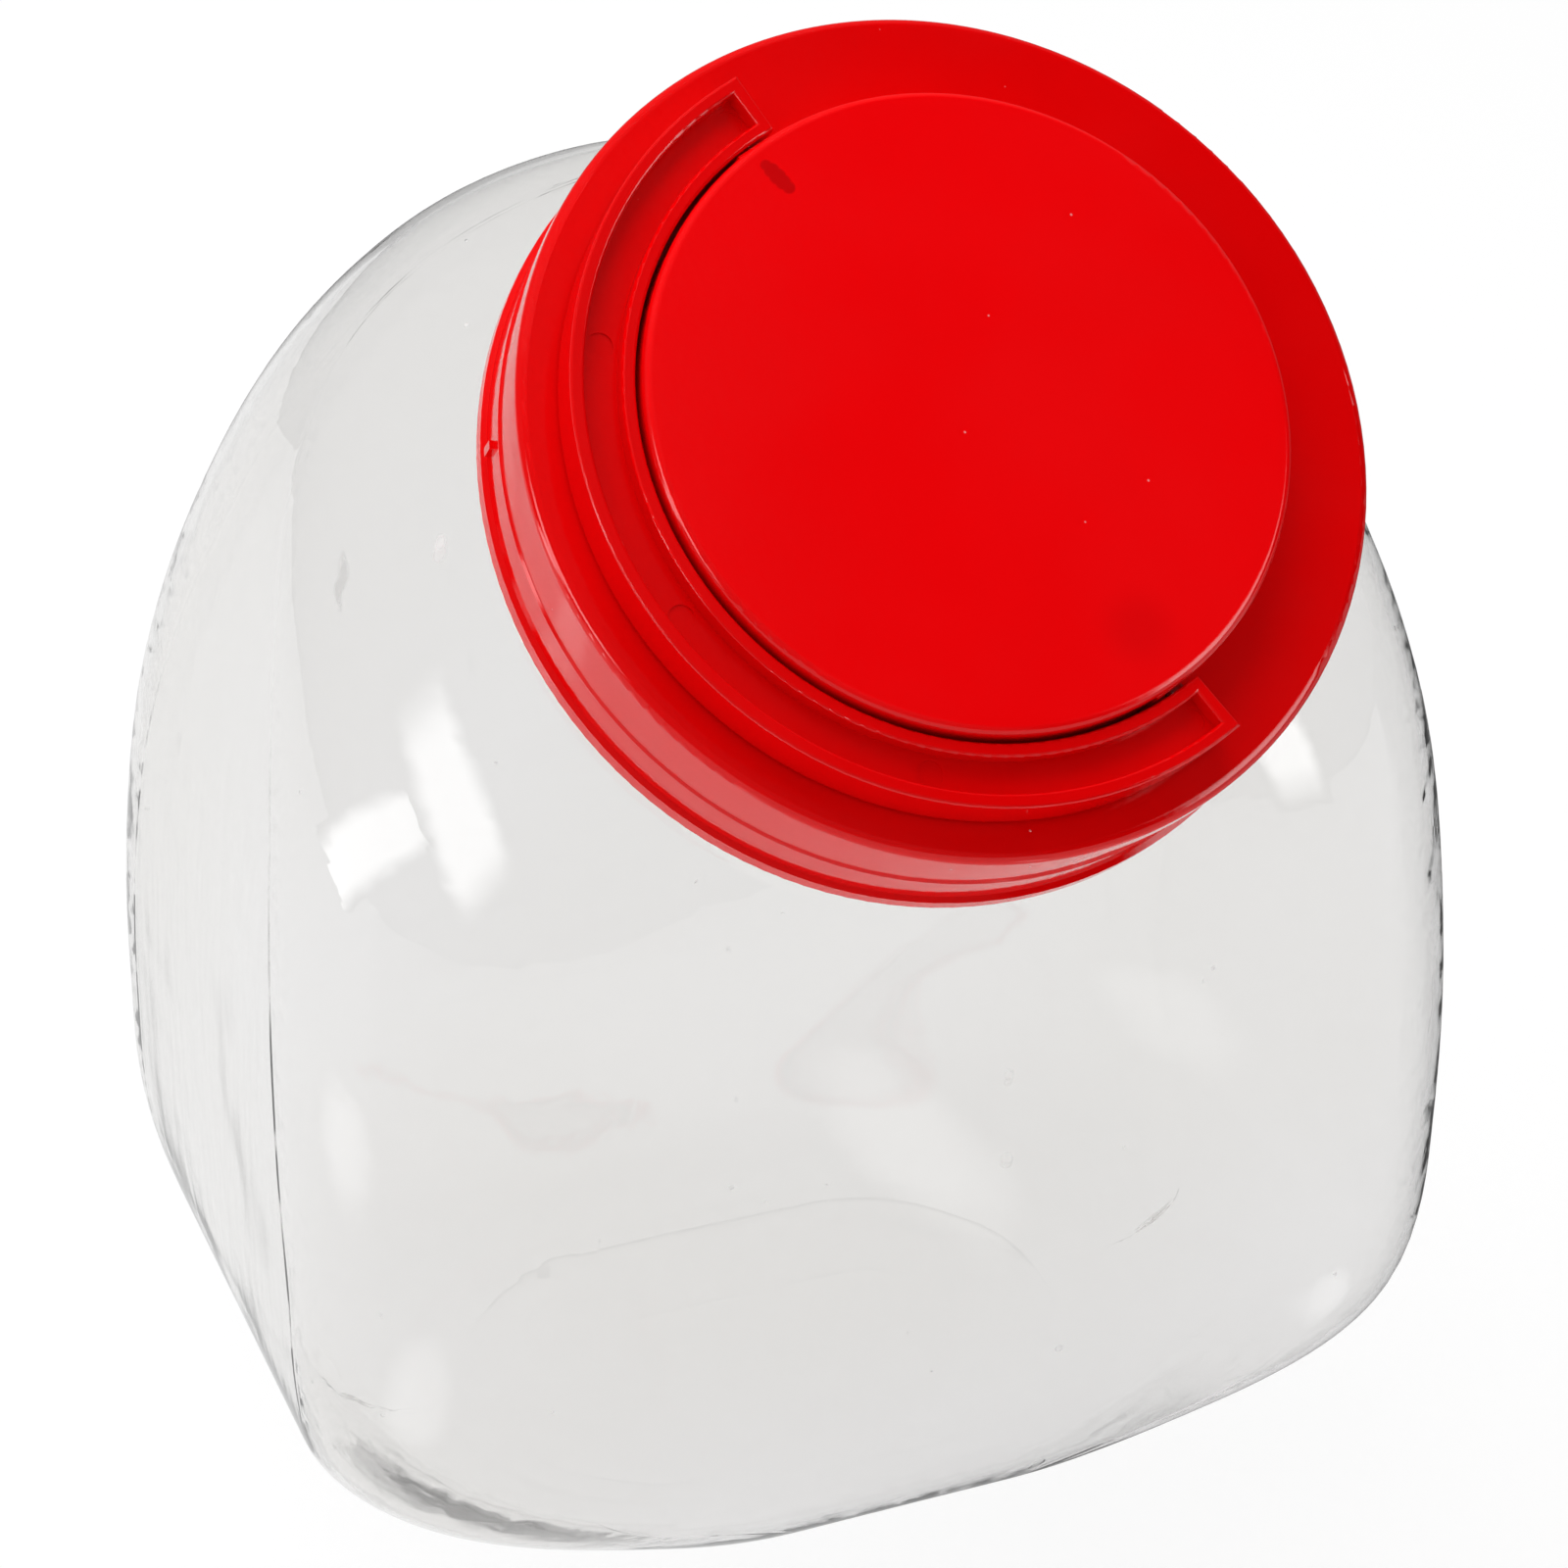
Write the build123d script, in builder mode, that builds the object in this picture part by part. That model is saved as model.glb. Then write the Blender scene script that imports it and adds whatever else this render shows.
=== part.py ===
from build123d import *
import math
import os

os.makedirs("parts", exist_ok=True)

# ---- jar body, outside ----
jar_width = 185.5
jar_depth = 149.0
wall = 1.2
foot_corner_radius = 82.0       # upright corners at the table, where the base is nearly oval
corner_radius = 33.0            # upright corners from corner_blend_height up
corner_blend_height = 40.0
base_edge_width = 36.0          # rounding between walls and base, across and up
base_edge_height = 49.0
base_taper = 1.6                # walls lean in by this much towards the table
taper_height = 80.0
front_radius = 60.0
back_radius = 124.0
back_arc_z = 105.0              # where the back wall begins to curve in
crown_radius = 30.0
crown_drop = 1.0                # the crown is cut flat this far below its peak
crown_edge_radius = 5.0
dome_start = 55.0               # height at which the sides begin to close in
dome_power = 2.9
crown_corner_power = 1.6
least_straight = 0.5            # straight left between two rounded corners
push_up = 3.0                   # height of the shallow dome pressed up into the base
foot_width = 5.0                # flat ring the jar stands on

# ---- lid, heights along its axis from the plane of its outer band ----
tilt = 45.0
lid_back = 16.5                 # lid centre behind the jar's front wall
lid_height = 193.6              # lid centre above the table
lid_radius = 60.0
lid_skirt = 22.8
lid_top_wall = 2.0
rim_radius = 1.4
rim_band = 4.5
upper_band = 12.2
upper_band_radius = 59.3
lower_band = 19.2
lower_band_radius = 59.6
bead_radius = 60.4
band_slope = 0.4
bead_edge_radius = 0.8
skirt_inner_radius = 58.0
hub_radius = 45.2
hub_height = 8.5
hub_wall = 2.0
hub_edge_radius = 1.2

# ---- liner, neck and thread ----
liner_clearance = 0.8           # radial, liner in skirt
liner_thickness = 1.2
neck_radius = 55.8
mouth_radius = 54.0
neck_below_skirt = 1.0          # shoulder below the skirt's lower edge
neck_root = 30.0                # neck carried this far down into the body
neck_blend_radius = 5.0
rim_edge_radius = 0.5
thread_pitch = 5.08
thread_turns = 1.25
thread_root_width = 2.4
thread_crest_width = 1.0
thread_clearance = 0.4          # crest of one thread to the wall of the other part
thread_sink = 0.3               # ridge sunk into its wall
thread_drop = 4.0               # first turn of the jar's thread below the rim

# ---- handle ----
handle_inner_radius = 45.85
handle_outer_radius = 54.6
handle_bottom = 0.35
handle_top = 7.1
handle_rib = 1.9
handle_floor = 4.4
handle_underside = 2.6
handle_end_wall = 1.8
handle_edge_radius = 0.4
pivot_angle = 114.1             # direction of the pivot line round the lid's axis
heel_length = 2.6               # handle beyond the pivot line
pivot_height = 3.6
pin_radius = 1.4
pin_clearance = 0.1
pin_end_gap = 0.6               # pin end behind the hub's inner face
pad_flat = 45.3                 # pad face from the lid's centre
pad_half_width = 4.5
pad_root = 44.0                 # pads start inside the hub's wall
mark_radius = 1.8
mark_depth = 0.2
mark_count = 5
mark_end_angle = 4.3            # first and last mark inside the handle's ends

# ---- nub on the skirt ----
nub_angle = 167.8
nub_width = 1.2
nub_top = 15.2
nub_height = 3.0
nub_rise = 0.6

same_size = 0.01                # edges closer than this are the same size

# ---- values that follow ----
tilt_sin = math.sin(math.radians(tilt))
tilt_cos = math.cos(math.radians(tilt))
tilt_tan = tilt_sin / tilt_cos
shoulder_drop = lid_skirt + neck_below_skirt
shoulder_z = lid_height - lid_back * tilt_tan - shoulder_drop / tilt_cos
front_arc_z = shoulder_z - front_radius * math.tan(math.radians((90 - tilt) / 2))
back_arc_y = jar_depth - back_radius
# the crown's arc touches the sloping shoulder and the back arc
crown_reach = back_radius - crown_radius
crown_across = (shoulder_z - back_arc_z) * tilt_cos + back_arc_y * tilt_sin - crown_radius
crown_along = math.sqrt(crown_reach**2 - crown_across**2)
crown_y = back_arc_y - crown_across * tilt_sin + crown_along * tilt_cos
crown_z = back_arc_z + crown_across * tilt_cos + crown_along * tilt_sin
crown_share = (crown_z - back_arc_z) / crown_reach
crown_top = crown_z + crown_radius
handle_reach = (handle_outer_radius - handle_edge_radius) * tilt_cos
handle_reach += (handle_top - handle_edge_radius) * tilt_sin + handle_edge_radius
front_overhang = handle_reach - lid_back
front_y = (front_overhang - jar_depth) / 2      # jar's front wall when the whole is centred

lid_origin = (0, front_y + lid_back, lid_height)
lid_plane = Plane(origin=lid_origin, x_dir=(1, 0, 0), z_dir=(0, -tilt_sin, tilt_cos))
lid_axis = Axis(lid_origin, (0, -tilt_sin, tilt_cos))


def side_profile(z, inset):
    """Front and back of the jar's middle outline at height z, from the front wall."""
    front_arc = front_radius - inset
    back_arc = back_radius - inset
    crown_arc = crown_radius - inset
    front = inset
    if z > front_arc_z:
        front = front_radius - math.sqrt(max(front_arc**2 - (z - front_arc_z) ** 2, 0))
    if z > front_arc_z + front_arc * tilt_cos:
        front = (z - shoulder_z) / tilt_tan + inset / tilt_sin
    if z > crown_z + crown_arc * tilt_cos:
        front = crown_y - math.sqrt(crown_arc**2 - (z - crown_z) ** 2)
    back = jar_depth - inset
    if z > back_arc_z:
        back = back_arc_y + math.sqrt(back_arc**2 - (z - back_arc_z) ** 2)
    if z > back_arc_z + back_arc * crown_share:
        back = crown_y + math.sqrt(crown_arc**2 - (z - crown_z) ** 2)
    return front, back


def jar_section(z, inset):
    """Width, depth, middle and corner radius of the jar at height z, inset from the outside."""
    front, back = side_profile(z, inset)
    edge = base_taper * max(1 - z / taper_height, 0)
    if z < base_edge_height:
        share = (base_edge_height - z) / (base_edge_height - inset)
        edge += (base_edge_width - inset) * (1 - math.sqrt(1 - share**2))
    half_width = jar_width / 2 - inset
    rise = 0.0
    if z > dome_start:
        rise = (z - dome_start) / (crown_top - inset - dome_start)
        half_width = half_width * (1 - rise**dome_power) ** (1 / dome_power)
    blend = min(z / corner_blend_height, 1)
    blend = blend * blend * (3 - 2 * blend)
    corner = foot_corner_radius + (corner_radius - foot_corner_radius) * blend - inset
    width = 2 * (half_width - edge)
    depth = back - front - 2 * edge
    roundest = min(width, depth) / 2 - least_straight
    corner = min(corner - edge, roundest)
    corner += (roundest - corner) * rise**crown_corner_power
    return width, depth, (front + back) / 2, corner


def jar_heights(inset):
    """Heights of the sections, close together where the outline turns."""
    turns = [math.radians(angle) for angle in (0, 18, 36, 54, 72)]
    reach = base_edge_height - inset
    heights = [base_edge_height - reach * math.cos(turn) for turn in turns]
    top = crown_top - inset - crown_drop
    straight = (top - base_edge_height) / 2
    heights += [base_edge_height + straight * step / 7 for step in range(8)]
    turns = [math.radians(90 * step / 9) for step in range(1, 10)]
    heights += [top - straight * (1 - math.sin(turn)) for turn in turns]
    return heights


def jar_shape(inset):
    """Solid jar without its neck, inset from the outside."""
    with BuildPart() as shape:
        for height in jar_heights(inset):
            width, depth, middle, corner = jar_section(height, inset)
            with BuildSketch(Plane.XY.offset(height)):
                with Locations((0, front_y + middle)):
                    RectangleRounded(width, depth, corner)
        loft()
        fillet(shape.edges().group_by(Axis.Z)[-1], crown_edge_radius - inset)
    return shape.part


def lid_disc(radius, bottom, top):
    """Disc on the lid's axis, between two heights."""
    with BuildPart() as disc:
        with BuildSketch(lid_plane.offset(bottom)):
            Circle(radius)
        extrude(amount=top - bottom)
    return disc.part


def jar_with_neck(inset, tube_radius):
    """Jar and neck as one solid, the neck flowing into the shoulder."""
    with BuildPart() as solid:
        add(jar_shape(inset))
        add(lid_disc(tube_radius, neck_foot, rim_height))
        fillet(solid.edges(Select.NEW), neck_blend_radius + inset)
    return solid.part


def base_dome(bottom):
    """Shallow dome of the push-up, its largest section at height bottom."""
    width, depth, middle, corner = jar_section(0, 0)
    half_depth = depth / 2 - foot_width
    with BuildPart() as dome:
        for share in (1.0, 0.85, 0.7, 0.55, 0.4, 0.25):
            shrink = foot_width + half_depth * (1 - share)
            with BuildSketch(Plane.XY.offset(bottom + push_up * (1 - share**2))):
                with Locations((0, front_y + middle)):
                    RectangleRounded(width - 2 * shrink, depth - 2 * shrink, corner - shrink)
        loft()
    return dome.part


def thread_ridge(wall_radius, crest_radius, start_height):
    """Helical ridge standing from a wall radius to a crest radius."""
    root_radius = wall_radius - math.copysign(thread_sink, crest_radius - wall_radius)
    with BuildPart() as ridge:
        with BuildLine(Plane.XY.offset(start_height)) as path:
            Helix(thread_pitch, thread_pitch * thread_turns, root_radius)
        with BuildSketch(Plane.XZ):
            with BuildLine():
                Polyline(
                    (root_radius, start_height - thread_root_width / 2),
                    (crest_radius, start_height - thread_crest_width / 2),
                    (crest_radius, start_height + thread_crest_width / 2),
                    (root_radius, start_height + thread_root_width / 2),
                    close=True,
                )
            make_face()
        sweep(path=path.line, is_frenet=True)
    return lid_plane.location * ridge.part


def radial_plane(angle):
    """Plane through the lid's axis at an angle round it, X outward and Y up the axis."""
    outward = lid_plane.x_dir.rotate(lid_axis, angle)
    return Plane(origin=lid_origin, x_dir=outward, z_dir=outward.cross(lid_axis.direction))


def circles(part, radius, height):
    """Circular edges of a radius at a height on the lid's axis."""
    centre = lid_plane.offset(height).origin
    rings = part.edges().filter_by(GeomType.CIRCLE)
    rings = rings.filter_by(lambda edge: abs(edge.radius - radius) < same_size)
    return rings.filter_by(lambda edge: (edge.arc_center - centre).length < same_size)


rim_height = -lid_top_wall - liner_thickness
neck_foot = -shoulder_drop - neck_root
jar_crest = skirt_inner_radius - thread_clearance
lid_crest = neck_radius + thread_clearance
jar_thread_start = rim_height - thread_drop - thread_pitch * thread_turns
lid_thread_start = jar_thread_start - thread_pitch / 2
hub_inner_radius = hub_radius - hub_wall

with BuildPart() as jar_body:
    add(jar_with_neck(0, neck_radius))
    add(jar_with_neck(wall, mouth_radius), mode=Mode.SUBTRACT)
    add(base_dome(wall))
    add(base_dome(0), mode=Mode.SUBTRACT)
    fillet(circles(jar_body, neck_radius, rim_height), rim_edge_radius)
    fillet(circles(jar_body, mouth_radius, rim_height), rim_edge_radius)
    add(thread_ridge(neck_radius, jar_crest, jar_thread_start))
jar_body.part.label = "jar_body"
export_step(jar_body.part, "parts/jar_body.step")

with BuildPart() as lid:
    with BuildSketch(radial_plane(0)):
        with BuildLine():
            Polyline(
                (0, hub_height),
                (hub_radius, hub_height),
                (hub_radius, 0),
                (lid_radius, 0),
                (lid_radius, -rim_band),
                (upper_band_radius, -rim_band - band_slope),
                (upper_band_radius, -upper_band),
                (lower_band_radius, -upper_band - band_slope),
                (lower_band_radius, -lower_band),
                (bead_radius, -lower_band - band_slope),
                (bead_radius, -lid_skirt),
                (skirt_inner_radius, -lid_skirt),
                (skirt_inner_radius, -lid_top_wall),
                (hub_inner_radius, -lid_top_wall),
                (hub_inner_radius, hub_height - lid_top_wall),
                (0, hub_height - lid_top_wall),
                close=True,
            )
        make_face()
    revolve(axis=lid_axis)
    fillet(circles(lid, lid_radius, 0), rim_radius)
    fillet(circles(lid, hub_radius, hub_height), hub_edge_radius)
    fillet(circles(lid, bead_radius, -lid_skirt), bead_edge_radius)
    with BuildSketch(lid_plane.offset(-lid_top_wall / 2)):
        with PolarLocations((pad_root + pad_flat) / 2, 2, start_angle=pivot_angle):
            Rectangle(pad_flat - pad_root, 2 * pad_half_width)
    extrude(amount=handle_top + lid_top_wall / 2)
    with BuildSketch(radial_plane(pivot_angle + 90)):
        with Locations((0, pivot_height)):
            Circle(pin_radius + pin_clearance)
    extrude(amount=pad_flat + lid_top_wall, both=True, mode=Mode.SUBTRACT)
    with BuildSketch(lid_plane.offset(-nub_top)):
        with PolarLocations(lower_band_radius, 1, start_angle=nub_angle):
            Rectangle(2 * nub_rise, nub_width)
    extrude(amount=-nub_height)
    add(thread_ridge(skirt_inner_radius, lid_crest, lid_thread_start))
lid.part.label = "lid"
export_step(lid.part, "parts/lid.step")

lid_liner = lid_disc(skirt_inner_radius - liner_clearance, rim_height, -lid_top_wall)
lid_liner.label = "lid_liner"
export_step(lid_liner, "parts/lid_liner.step")

handle_middle = (handle_inner_radius + handle_outer_radius) / 2
heel_angle = math.degrees(heel_length / handle_middle)
handle_start = pivot_angle - heel_angle
handle_arc = 180 + 2 * heel_angle
end_wall_angle = math.degrees(handle_end_wall / handle_middle)
channel_width = handle_outer_radius - handle_inner_radius - 2 * handle_rib
heel_radius = pivot_height - handle_bottom
pin_end = hub_inner_radius + pin_end_gap

with BuildPart() as handle:
    with BuildSketch(radial_plane(handle_start)):
        with Locations((handle_middle, handle_bottom)):
            Rectangle(
                handle_outer_radius - handle_inner_radius,
                handle_top - handle_bottom,
                align=(Align.CENTER, Align.MIN),
            )
    revolve(axis=lid_axis, revolution_arc=handle_arc)
    with BuildSketch(radial_plane(handle_start + end_wall_angle)):
        with Locations((handle_middle, handle_floor)):
            Rectangle(channel_width, handle_top, align=(Align.CENTER, Align.MIN))
        with Locations((handle_middle, handle_underside)):
            Rectangle(channel_width, handle_top, align=(Align.CENTER, Align.MAX))
    revolve(axis=lid_axis, revolution_arc=handle_arc - 2 * end_wall_angle, mode=Mode.SUBTRACT)
    fillet(handle.edges().group_by(lid_axis)[-1], handle_edge_radius)
    with BuildSketch(lid_plane.offset(handle_floor)):
        with PolarLocations(
            handle_middle,
            mark_count,
            start_angle=handle_start + mark_end_angle,
            angular_range=handle_arc - 2 * mark_end_angle,
            endpoint=True,
        ):
            Circle(mark_radius)
    extrude(amount=-mark_depth, mode=Mode.SUBTRACT)
    # the heel's lower corner turns about the pin without touching the lid
    with BuildSketch(radial_plane(pivot_angle + 90)):
        with Locations((0, pivot_height)):
            Rectangle(2 * heel_radius, 2 * heel_radius, align=(Align.MAX, Align.MAX))
            Circle(heel_radius, mode=Mode.SUBTRACT)
    extrude(amount=handle_outer_radius + handle_rib, both=True, mode=Mode.SUBTRACT)
    for side in (0, 180):
        pin_plane = radial_plane(pivot_angle + side + 90)
        with BuildSketch(pin_plane.offset(pin_end)):
            with Locations((0, pivot_height)):
                Circle(pin_radius)
        extrude(amount=handle_inner_radius + handle_rib / 2 - pin_end)
handle.part.label = "handle"
export_step(handle.part, "parts/handle.step")
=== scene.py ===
import math

import bpy
from mathutils import Matrix, Vector


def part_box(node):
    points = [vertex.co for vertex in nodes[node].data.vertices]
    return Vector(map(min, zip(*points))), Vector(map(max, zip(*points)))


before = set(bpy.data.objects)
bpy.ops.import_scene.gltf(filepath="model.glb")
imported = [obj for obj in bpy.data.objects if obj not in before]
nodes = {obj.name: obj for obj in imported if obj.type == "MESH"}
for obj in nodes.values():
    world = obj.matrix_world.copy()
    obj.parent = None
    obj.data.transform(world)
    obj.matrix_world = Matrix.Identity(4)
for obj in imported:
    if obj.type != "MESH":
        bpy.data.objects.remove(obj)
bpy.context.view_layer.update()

# ---------------------------------------------------------------- camera
JAR_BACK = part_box("jar_body")[1][1]
AIM = Vector((0.0057, JAR_BACK - 0.0640, 0.0997))
AZIMUTH = math.radians(-23.08)
ELEVATION = math.radians(30.36)
DISTANCE = 0.684
ROLL = math.radians(1.45)
LENS = 99.8

back = Vector((
    math.sin(AZIMUTH) * math.cos(ELEVATION),
    -math.cos(AZIMUTH) * math.cos(ELEVATION),
    math.sin(ELEVATION),
))
level = Vector((math.cos(AZIMUTH), math.sin(AZIMUTH), 0.0))
upright = back.cross(level)
right = level * math.cos(ROLL) + upright * math.sin(ROLL)
up = back.cross(right)
place = back * DISTANCE + AIM
camera_data = bpy.data.cameras.new("camera")
camera_data.lens = LENS
camera_data.clip_start = 0.01
camera = bpy.data.objects.new("camera", camera_data)
bpy.context.scene.collection.objects.link(camera)
camera.matrix_world = Matrix([
    [right.x, up.x, back.x, place.x],
    [right.y, up.y, back.y, place.y],
    [right.z, up.z, back.z, place.z],
    [0, 0, 0, 1],
])
bpy.context.scene.camera = camera
bpy.context.scene.view_settings.view_transform = "Standard"

# ---------------------------------------------------------------- lid frame
LID_AXIS = Vector((0.0, -math.sqrt(0.5), math.sqrt(0.5)))
LID_UP = Vector((0.0, math.sqrt(0.5), math.sqrt(0.5)))
LINER_DEPTH = 0.0026    # middle of the liner below the lid's outer band
liner_box = [Vector(corner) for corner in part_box("lid_liner")]
LID_ORIGIN = (liner_box[0] + liner_box[1]) / 2 + LID_AXIS * LINER_DEPTH


def on_lid(radius, angle, height):
    """Point at a radius (m) and angle (degrees) round the lid's axis."""
    turn = math.radians(angle)
    across = Vector((radius * math.cos(turn), 0, 0)) + LID_UP * radius * math.sin(turn)
    return LID_ORIGIN + across + LID_AXIS * height


HUB_TOP = 0.0085
# painted dark spots on the hub: a sink mark's darker look over the pin at one end of the handle, and a
# soft painted dark reflection near the handle's other end; angle, radius, size, feather, strength
PAINTED_DARK_SPOTS = (
    (117.2, 0.0380, 0.0007, 0.0004, 0.60),
    (117.4, 0.0390, 0.0009, 0.0004, 0.60),
    (117.5, 0.0400, 0.0010, 0.0004, 0.60),
    (117.6, 0.0411, 0.0009, 0.0004, 0.60),
    (117.8, 0.0421, 0.0006, 0.0004, 0.60),
    (-67.5, 0.0365, 0.0012, 0.0060, 0.18),
)
ROUND_MARK = (-0.0572, JAR_BACK - 0.1400, 0.1434)   # moulded dish on the left shoulder

X_AXIS = (1, 0, 0)
Y_AXIS = (0, 1, 0)


# ---------------------------------------------------------------- node helpers
class Surface:
    """Material with a Principled shader and short calls for the nodes in front of it."""

    def __init__(self, name):
        self.material = bpy.data.materials.new(name)
        self.material.use_nodes = True
        self.tree = self.material.node_tree
        self.shader = self.tree.nodes["Principled BSDF"]
        self.place = self.tree.nodes.new("ShaderNodeTexCoord").outputs["Object"]

    def set(self, name, value):
        self.shader.inputs[name].default_value = value

    def into(self, socket, target):
        """Link a socket to a target, or set a plain number or colour on it."""
        if hasattr(socket, "is_linked"):
            self.tree.links.new(socket, target)
        else:
            target.default_value = socket

    def drive(self, name, socket):
        self.tree.links.new(socket, self.shader.inputs[name])

    def math(self, operation, first, second=0.0, clamp=False):
        node = self.tree.nodes.new("ShaderNodeMath")
        node.operation = operation
        node.use_clamp = clamp
        self.into(first, node.inputs[0])
        self.into(second, node.inputs[1])
        return node.outputs[0]

    def noise(self, scale, detail, place=None):
        node = self.tree.nodes.new("ShaderNodeTexNoise")
        node.inputs["Scale"].default_value = scale
        node.inputs["Detail"].default_value = detail
        self.tree.links.new(place or self.place, node.inputs["Vector"])
        return node.outputs["Fac"]

    def stretch(self, scale, turn=(0, 0, 0)):
        node = self.tree.nodes.new("ShaderNodeMapping")
        node.inputs["Scale"].default_value = scale
        node.inputs["Rotation"].default_value = turn
        self.tree.links.new(self.place, node.inputs["Vector"])
        return node.outputs["Vector"]

    def cells(self, scale, place=None):
        node = self.tree.nodes.new("ShaderNodeTexVoronoi")
        node.inputs["Scale"].default_value = scale
        self.tree.links.new(place or self.place, node.inputs["Vector"])
        return node

    def span(self, socket, low, high, start=0.0, end=1.0):
        """Map low..high to start..end, smoothly and held at both ends."""
        node = self.tree.nodes.new("ShaderNodeMapRange")
        node.interpolation_type = "SMOOTHSTEP"
        for name, value in zip(("From Min", "From Max", "To Min", "To Max"), (low, high, start, end)):
            node.inputs[name].default_value = value
        self.tree.links.new(socket, node.inputs["Value"])
        return node.outputs["Result"]

    def blend(self, factor, first, second):
        node = self.tree.nodes.new("ShaderNodeMix")
        node.data_type = "RGBA"
        self.tree.links.new(factor, node.inputs["Factor"])
        for value, target in ((first, node.inputs[6]), (second, node.inputs[7])):
            self.into(value, target)
        return node.outputs[2]

    def specks(self, scale, share, size, place=None):
        """Small dots: 1 at the middle of a share of the cells, 0 elsewhere."""
        node = self.cells(scale, place)
        split = self.tree.nodes.new("ShaderNodeSeparateColor")
        self.tree.links.new(node.outputs["Color"], split.inputs["Color"])
        chosen = self.math("LESS_THAN", split.outputs["Red"], share)
        dot = self.span(node.outputs["Distance"], size * 0.5, size, 1.0, 0.0)
        return self.math("MULTIPLY", chosen, dot)

    def bump(self, height, distance, strength, below=None):
        node = self.tree.nodes.new("ShaderNodeBump")
        node.inputs["Strength"].default_value = strength
        node.inputs["Distance"].default_value = distance
        self.tree.links.new(height, node.inputs["Height"])
        if below:
            self.tree.links.new(below, node.inputs["Normal"])
        return node.outputs["Normal"]

    def along(self, axis, origin=(0, 0, 0)):
        """Distance along an axis from an origin."""
        shift = self.tree.nodes.new("ShaderNodeVectorMath")
        shift.operation = "SUBTRACT"
        shift.inputs[1].default_value = origin
        self.tree.links.new(self.place, shift.inputs[0])
        node = self.tree.nodes.new("ShaderNodeVectorMath")
        node.operation = "DOT_PRODUCT"
        node.inputs[1].default_value = axis
        self.tree.links.new(shift.outputs["Vector"], node.inputs[0])
        return node.outputs["Value"]

    def lid_radius(self):
        """Distance from the lid's axis."""
        across = self.along(X_AXIS, LID_ORIGIN)
        upward = self.along(LID_UP, LID_ORIGIN)
        squares = self.math("ADD", self.math("POWER", across, 2.0), self.math("POWER", upward, 2.0))
        return self.math("SQRT", squares)

    def finish_with(self, factor, node):
        """Mix another shader node over what the material shows so far by a factor."""
        surface = self.tree.nodes["Material Output"].inputs["Surface"]
        mixer = self.tree.nodes.new("ShaderNodeMixShader")
        self.tree.links.new(surface.links[0].from_socket, mixer.inputs[1])
        self.tree.links.new(factor, mixer.inputs[0])
        self.tree.links.new(node.outputs[0], mixer.inputs[2])
        self.tree.links.new(mixer.outputs[0], surface)

    def glow(self, strength):
        """White emission of a strength."""
        node = self.tree.nodes.new("ShaderNodeEmission")
        node.inputs["Color"].default_value = (1, 1, 1, 1)
        self.into(strength, node.inputs["Strength"])
        return node

    def near(self, point, radius, feather):
        """1 inside a radius of a point, falling to 0 over a feather."""
        node = self.tree.nodes.new("ShaderNodeVectorMath")
        node.operation = "DISTANCE"
        node.inputs[1].default_value = point
        self.tree.links.new(self.place, node.inputs[0])
        return self.span(node.outputs["Value"], radius, radius + feather, 1.0, 0.0)


# ---------------------------------------------------------------- materials
PANE_SHADE = (0.955, 0.955, 0.955, 1)   # the wall as light passes straight through it
SCRATCH_TURNS = ((0.5, 0.2, 0.1), (-0.6, 0.9, 0.4), (1.4, -0.4, 1.0))
WAVE_HEIGHT = 0.0006
RIPPLE_HEIGHT = 0.00008
RIPPLES_FROM, RIPPLES_FULL = 0.05, 0.085     # distance out to the left, where the corner is
DISH_RADIUS, DISH_EDGE, DISH_DEPTH = 0.0062, 0.0016, 0.0003
MARK_HEIGHT = 0.00005
HUB_EDGE, HUB_SIDE = 0.0445, 0.0452          # the lid's hub ends between these radii
# painted dark red for the hub's painted dark spots
PAINTED_DARK_RED = (0.42, 0.001, 0.002, 1)
DUST_PINK = (0.9, 0.45, 0.45, 1)


def jar_plastic():
    clear = Surface("clear_plastic")
    clear.set("IOR", 1.5)
    tint = clear.span(clear.noise(9, 1), 0.35, 0.65)
    clear.drive("Base Color", clear.blend(tint, (0.878, 0.872, 0.862, 1), (0.894, 0.890, 0.887, 1)))
    clear.drive("Roughness", clear.span(clear.noise(60, 3), 0.4, 0.75, 0.012, 0.04))
    # dust, short scratches and stray specks
    marks = clear.math("ADD", clear.specks(190, 0.035, 0.09), clear.specks(60, 0.05, 0.05), True)
    for turn in SCRATCH_TURNS:
        stroke = clear.specks(70, 0.05, 0.09, clear.stretch((1, 1, 0.16), turn))
        marks = clear.math("MAXIMUM", marks, stroke)
    clouded = clear.math("MULTIPLY", marks, 0.45)
    clear.drive("Transmission Weight", clear.math("SUBTRACT", 1.0, clouded))
    # blown walls: slow waves, ripples where the upright corners stretched, one round mark
    soft = clear.bump(clear.noise(24, 2), WAVE_HEIGHT, 0.35)
    ripples = clear.noise(120, 3, clear.stretch((1, 1, 0.25)))
    leftward = clear.span(clear.along((-1, 0, 0)), RIPPLES_FROM, RIPPLES_FULL)
    corner = clear.math("MULTIPLY", ripples, leftward)
    soft = clear.bump(corner, RIPPLE_HEIGHT, 0.3, soft)
    dish = clear.math("SUBTRACT", 1.0, clear.near(ROUND_MARK, DISH_RADIUS, DISH_EDGE))
    soft = clear.bump(dish, DISH_DEPTH, 0.5, soft)
    clear.drive("Normal", clear.bump(marks, MARK_HEIGHT, 0.6, soft))
    # light for the floor and the inside passes straight through
    path = clear.tree.nodes.new("ShaderNodeLightPath")
    through = clear.math("MAXIMUM", path.outputs["Is Shadow Ray"], path.outputs["Is Diffuse Ray"])
    pane = clear.tree.nodes.new("ShaderNodeBsdfTransparent")
    pane.inputs["Color"].default_value = PANE_SHADE
    clear.finish_with(through, pane)
    return clear.material


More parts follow.
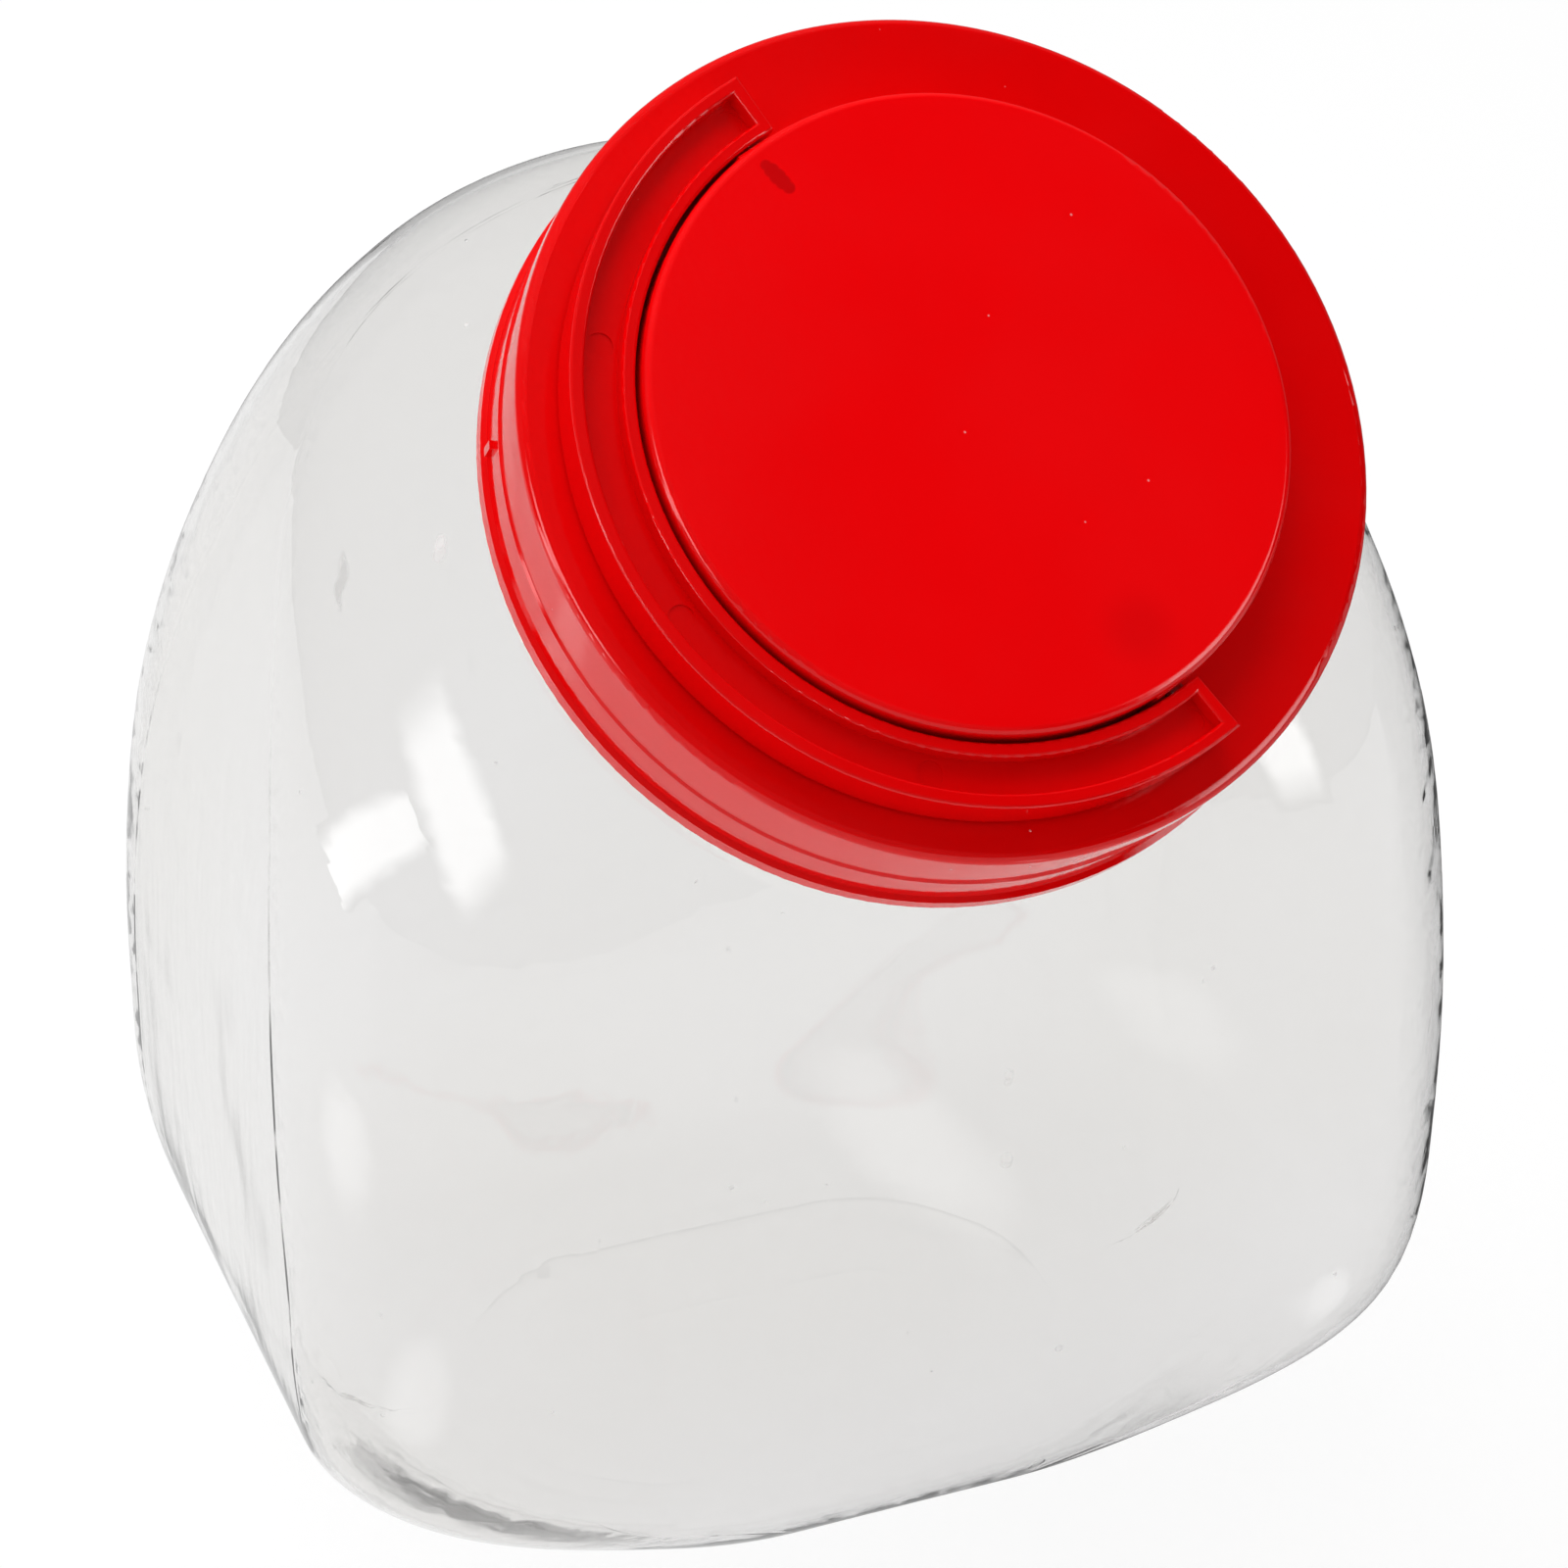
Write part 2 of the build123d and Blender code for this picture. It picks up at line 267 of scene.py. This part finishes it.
def red_plastic(name, grain):
    red = Surface(name)
    red.set("IOR", 1.47)
    cloud = red.span(red.noise(22, 3), 0.3, 0.7)
    lit_hub_red = red.blend(cloud, (0.91, 0.0006, 0.0020, 1), (0.95, 0.0008, 0.0024, 1))
    unlit_flange_red = red.blend(cloud, (0.77, 0.0003, 0.0010, 1), (0.82, 0.0004, 0.0013, 1))
    # painted light: the hub is coloured lighter for light coming through it from the jar, and the
    # flange darker where it sits on the neck
    colour = red.blend(red.span(red.lid_radius(), HUB_EDGE, HUB_SIDE), lit_hub_red, unlit_flange_red)
    dark_spots = 0.0
    # painted shade and reflection: the hub is darkened at each spot
    for angle, radius, size, feather, darkening in PAINTED_DARK_SPOTS:
        dark_spot = red.near(on_lid(radius, angle, HUB_TOP), size, feather)
        dark_spots = red.math("MAXIMUM", red.math("MULTIPLY", dark_spot, darkening), dark_spots)
    colour = red.blend(dark_spots, colour, PAINTED_DARK_RED)
    dust = red.specks(380, 0.05, 0.085)
    lint = red.specks(160, 0.03, 0.05, red.stretch((1, 1, 0.3), (0.7, 0.3, 0.0)))
    marks = red.math("MAXIMUM", dust, lint)
    red.drive("Base Color", red.blend(red.math("MULTIPLY", marks, 0.5), colour, DUST_PINK))
    red.drive("Roughness", red.span(red.noise(35, 4), 0.3, 0.7, 0.06, 0.11))
    fine = red.bump(red.noise(grain, 3), MARK_HEIGHT, 0.3)
    red.drive("Normal", red.bump(marks, MARK_HEIGHT, 0.5, fine))
    return red.material


def liner_foam():
    foam = Surface("liner_foam")
    cloud = foam.noise(30, 3)
    foam.drive("Base Color", foam.blend(cloud, (0.80, 0.80, 0.77, 1), (0.88, 0.88, 0.86, 1)))
    foam.set("Roughness", 0.7)
    pores = foam.cells(900).outputs["Distance"]
    foam.drive("Normal", foam.bump(pores, 0.0003, 0.4))
    return foam.material


def give(node, material):
    if not node.material_slots:
        node.data.materials.append(material)
    for slot in node.material_slots:
        slot.material = material


give(nodes["jar_body"], jar_plastic())
give(nodes["lid"], red_plastic("lid_red", 700))
give(nodes["handle"], red_plastic("handle_red", 520))
give(nodes["lid_liner"], liner_foam())

# ---------------------------------------------------------------- stage
FLOOR_HALF = 6.0
FLOOR_DROP = -0.0003    # keeps the floor's plane apart from the standing ring's
GLOW_SEEN = 0.83        # share of plain white in the floor as the camera sees it
GLOW_THROUGH = 0.70     # and through the jar
MIRRORED_FRONT = 0.60   # floor as glossy surfaces show it, before the jar: a painted level of light
MIRRORED_LEFT = 0.85    # beside and behind it to the left, painted lighter
MIRRORED_RIGHT = 0.12   # and to the right, painted dark as the jar's shadow
# painted pools of light on the paper, seen only by glossy rays, that the jar's walls mirror: place,
# reach in x and y, strength
POOLS = (
    ((0.046, -0.176), (0.012, 0.034), 1.3),
    ((-0.290, -0.010), (0.045, 0.050), 1.2),
    ((-0.148, -0.086), (0.022, 0.030), 1.3),
    ((0.095, -0.086), (0.014, 0.014), 1.2),
    ((0.108, -0.200), (0.010, 0.022), 0.7),
)
POOL_EDGE = 1.6         # where a pool ends, in squares of its reach


def seen_rays(tree, kinds):
    """1 for any of the given kinds of ray."""
    path = tree.nodes.new("ShaderNodeLightPath")
    seen = path.outputs[kinds[0]]
    for kind in kinds[1:]:
        either = tree.nodes.new("ShaderNodeMath")
        either.operation = "MAXIMUM"
        tree.links.new(seen, either.inputs[0])
        tree.links.new(path.outputs[kind], either.inputs[1])
        seen = either.outputs[0]
    return seen


def staged(name, mesh):
    obj = bpy.data.objects.new(name, mesh)
    bpy.context.scene.collection.objects.link(obj)
    return obj


def square_mesh(name, half_x, half_y):
    mesh = bpy.data.meshes.new(name)
    corners = [(-1, -1), (1, -1), (1, 1), (-1, 1)]
    mesh.from_pydata([(x * half_x, y * half_y, 0) for x, y in corners], [], [(0, 1, 2, 3)])
    return mesh


def floor():
    paper = Surface("floor_white")
    paper.set("Base Color", (0.98, 0.98, 0.98, 1))
    paper.set("Roughness", 1.0)
    paper.set("Specular IOR Level", 0.0)
    pools = 0.0
    # painted pools of light in the floor's glow for glossy rays
    for centre, reach, power in POOLS:
        across, deep = (
            paper.math("POWER", paper.math("DIVIDE", paper.along(axis, (*centre, 0)), half), 2.0)
            for axis, half in zip((X_AXIS, Y_AXIS), reach)
        )
        pool = paper.span(paper.math("ADD", across, deep), 0.0, POOL_EDGE, power, 0.0)
        pools = paper.math("ADD", pool, pools)
    through = seen_rays(paper.tree, ("Is Transmission Ray",))
    glossy = paper.math("SUBTRACT", seen_rays(paper.tree, ("Is Glossy Ray",)), through, True)
    seen = seen_rays(paper.tree, ("Is Camera Ray",))
    # painted light and shade in the floor for glossy rays only: lighter to the left, a painted shadow
    # to the right
    behind = paper.span(paper.along(Y_AXIS), -0.12, 0.0)
    beside = paper.span(paper.along(X_AXIS), -0.06, 0.06, MIRRORED_LEFT, MIRRORED_RIGHT)
    change = paper.math("MULTIPLY", paper.math("SUBTRACT", beside, MIRRORED_FRONT), behind)
    mirrored_floor = paper.math("ADD", change, MIRRORED_FRONT)
    offset = paper.math("SUBTRACT", paper.math("ADD", pools, mirrored_floor), 1.0)
    strength = paper.math("ADD", paper.math("MULTIPLY", offset, glossy), 1.0)
    share = paper.math("MULTIPLY", seen, GLOW_SEEN)
    share = paper.math("MAXIMUM", share, paper.math("MULTIPLY", through, GLOW_THROUGH))
    share = paper.math("MAXIMUM", share, glossy)
    paper.finish_with(share, paper.glow(strength))
    mesh = square_mesh("floor", FLOOR_HALF, FLOOR_HALF)
    mesh.materials.append(paper.material)
    staged("floor", mesh).location.z = FLOOR_DROP


floor()

AIM_LIGHTS = Vector((0, 0, 0.11))
PANEL_DISTANCE = 1.2
PANEL_FULL = 0.45       # share of a panel's half width at full strength before it fades


def direction(azimuth, elevation):
    """Unit vector, azimuth from the front towards the right, in degrees."""
    turn, rise = math.radians(azimuth), math.radians(elevation)
    return Vector((math.sin(turn) * math.cos(rise), -math.cos(turn) * math.cos(rise), math.sin(rise)))


def softbox(name, azimuth, elevation, roll, width, height, radiance):
    """Panel with soft edges facing the jar; width and height as angles in degrees."""
    half_x = PANEL_DISTANCE * math.tan(math.radians(width / 2))
    half_y = PANEL_DISTANCE * math.tan(math.radians(height / 2))
    panel = Surface(name)
    strength = radiance
    for axis, half in ((X_AXIS, half_x), (Y_AXIS, half_y)):
        off = panel.math("ABSOLUTE", panel.along(axis))
        fade = panel.span(off, PANEL_FULL * half, half, 1.0, 0.0)
        strength = panel.math("MULTIPLY", strength, fade)
    output = panel.tree.nodes["Material Output"]
    panel.tree.links.new(panel.glow(strength).outputs[0], output.inputs["Surface"])
    panel.tree.nodes.remove(panel.shader)
    mesh = square_mesh(name, half_x, half_y)
    mesh.materials.append(panel.material)
    obj = staged(name, mesh)
    towards = direction(azimuth, elevation)
    obj.location = AIM_LIGHTS + towards * PANEL_DISTANCE
    turn = (-towards).to_track_quat("-Z", "Y").to_matrix() @ Matrix.Rotation(math.radians(roll), 3, "Z")
    obj.rotation_euler = turn.to_euler()
    obj.visible_camera = False
    obj.visible_diffuse = False
    obj.visible_shadow = False
    obj.visible_transmission = False


softbox("key_low", -92, 7, 40, 62, 12, 5.0)
softbox("key_high", -66, 26, -35, 42, 23, 5.0)
softbox("spot_right", 46, 20, 0, 24, 50, 5.0)


def lamp(name, azimuth, elevation, distance, width, height, radiance):
    """Area lamp for the matt surfaces; its power follows from its brightness and size."""
    light = bpy.data.lights.new(name, "AREA")
    light.shape = "RECTANGLE"
    light.size = width
    light.size_y = height
    light.energy = radiance * math.pi * width * height
    obj = bpy.data.objects.new(name, light)
    bpy.context.scene.collection.objects.link(obj)
    towards = direction(azimuth, elevation)
    obj.location = AIM_LIGHTS + towards * distance
    obj.rotation_euler = (-towards).to_track_quat("-Z", "Y").to_euler()
    obj.visible_glossy = False
    obj.visible_transmission = False


lamp("overhead", -150, 72, 1.4, 1.3, 1.3, 3.1)
lamp("left", -80, 35, 1.4, 0.9, 0.9, 1.2)

AMBIENT = 0.46          # light on matt surfaces from all round
BACKDROP = 0.14         # what glossy surfaces show behind the jar
ROOM_LEFT = 0.09        # and of the dark room before it
ROOM_RIGHT = 0.0
world = bpy.data.worlds.new("studio")
bpy.context.scene.world = world
world.use_nodes = True
tree = world.node_tree
links = tree.links
where = tree.nodes.new("ShaderNodeTexCoord")
axes = tree.nodes.new("ShaderNodeSeparateXYZ")
links.new(where.outputs["Generated"], axes.inputs[0])


def world_ramp(socket, low, high, start, end):
    node = tree.nodes.new("ShaderNodeMapRange")
    node.interpolation_type = "SMOOTHSTEP"
    for name, value in zip(("From Min", "From Max", "To Min", "To Max"), (low, high, start, end)):
        node.inputs[name].default_value = value
    links.new(socket, node.inputs["Value"])
    return node.outputs["Result"]


def world_mix(factor, first, second):
    node = tree.nodes.new("ShaderNodeMix")
    links.new(factor, node.inputs["Factor"])
    for value, target in ((first, node.inputs["A"]), (second, node.inputs["B"])):
        if hasattr(value, "is_linked"):
            links.new(value, target)
        else:
            target.default_value = value
    return node.outputs["Result"]


room = world_ramp(axes.outputs["X"], 0.28, 0.38, ROOM_LEFT, ROOM_RIGHT)
mirrored = world_mix(world_ramp(axes.outputs["Y"], -0.15, 0.35, 0.0, 1.0), room, BACKDROP)
strength = world_mix(seen_rays(tree, ("Is Glossy Ray",)), AMBIENT, mirrored)
strength = world_mix(seen_rays(tree, ("Is Camera Ray", "Is Transmission Ray")), strength, 1.0)
background = tree.nodes["Background"]
background.inputs["Color"].default_value = (1, 1, 1, 1)
links.new(strength, background.inputs["Strength"])
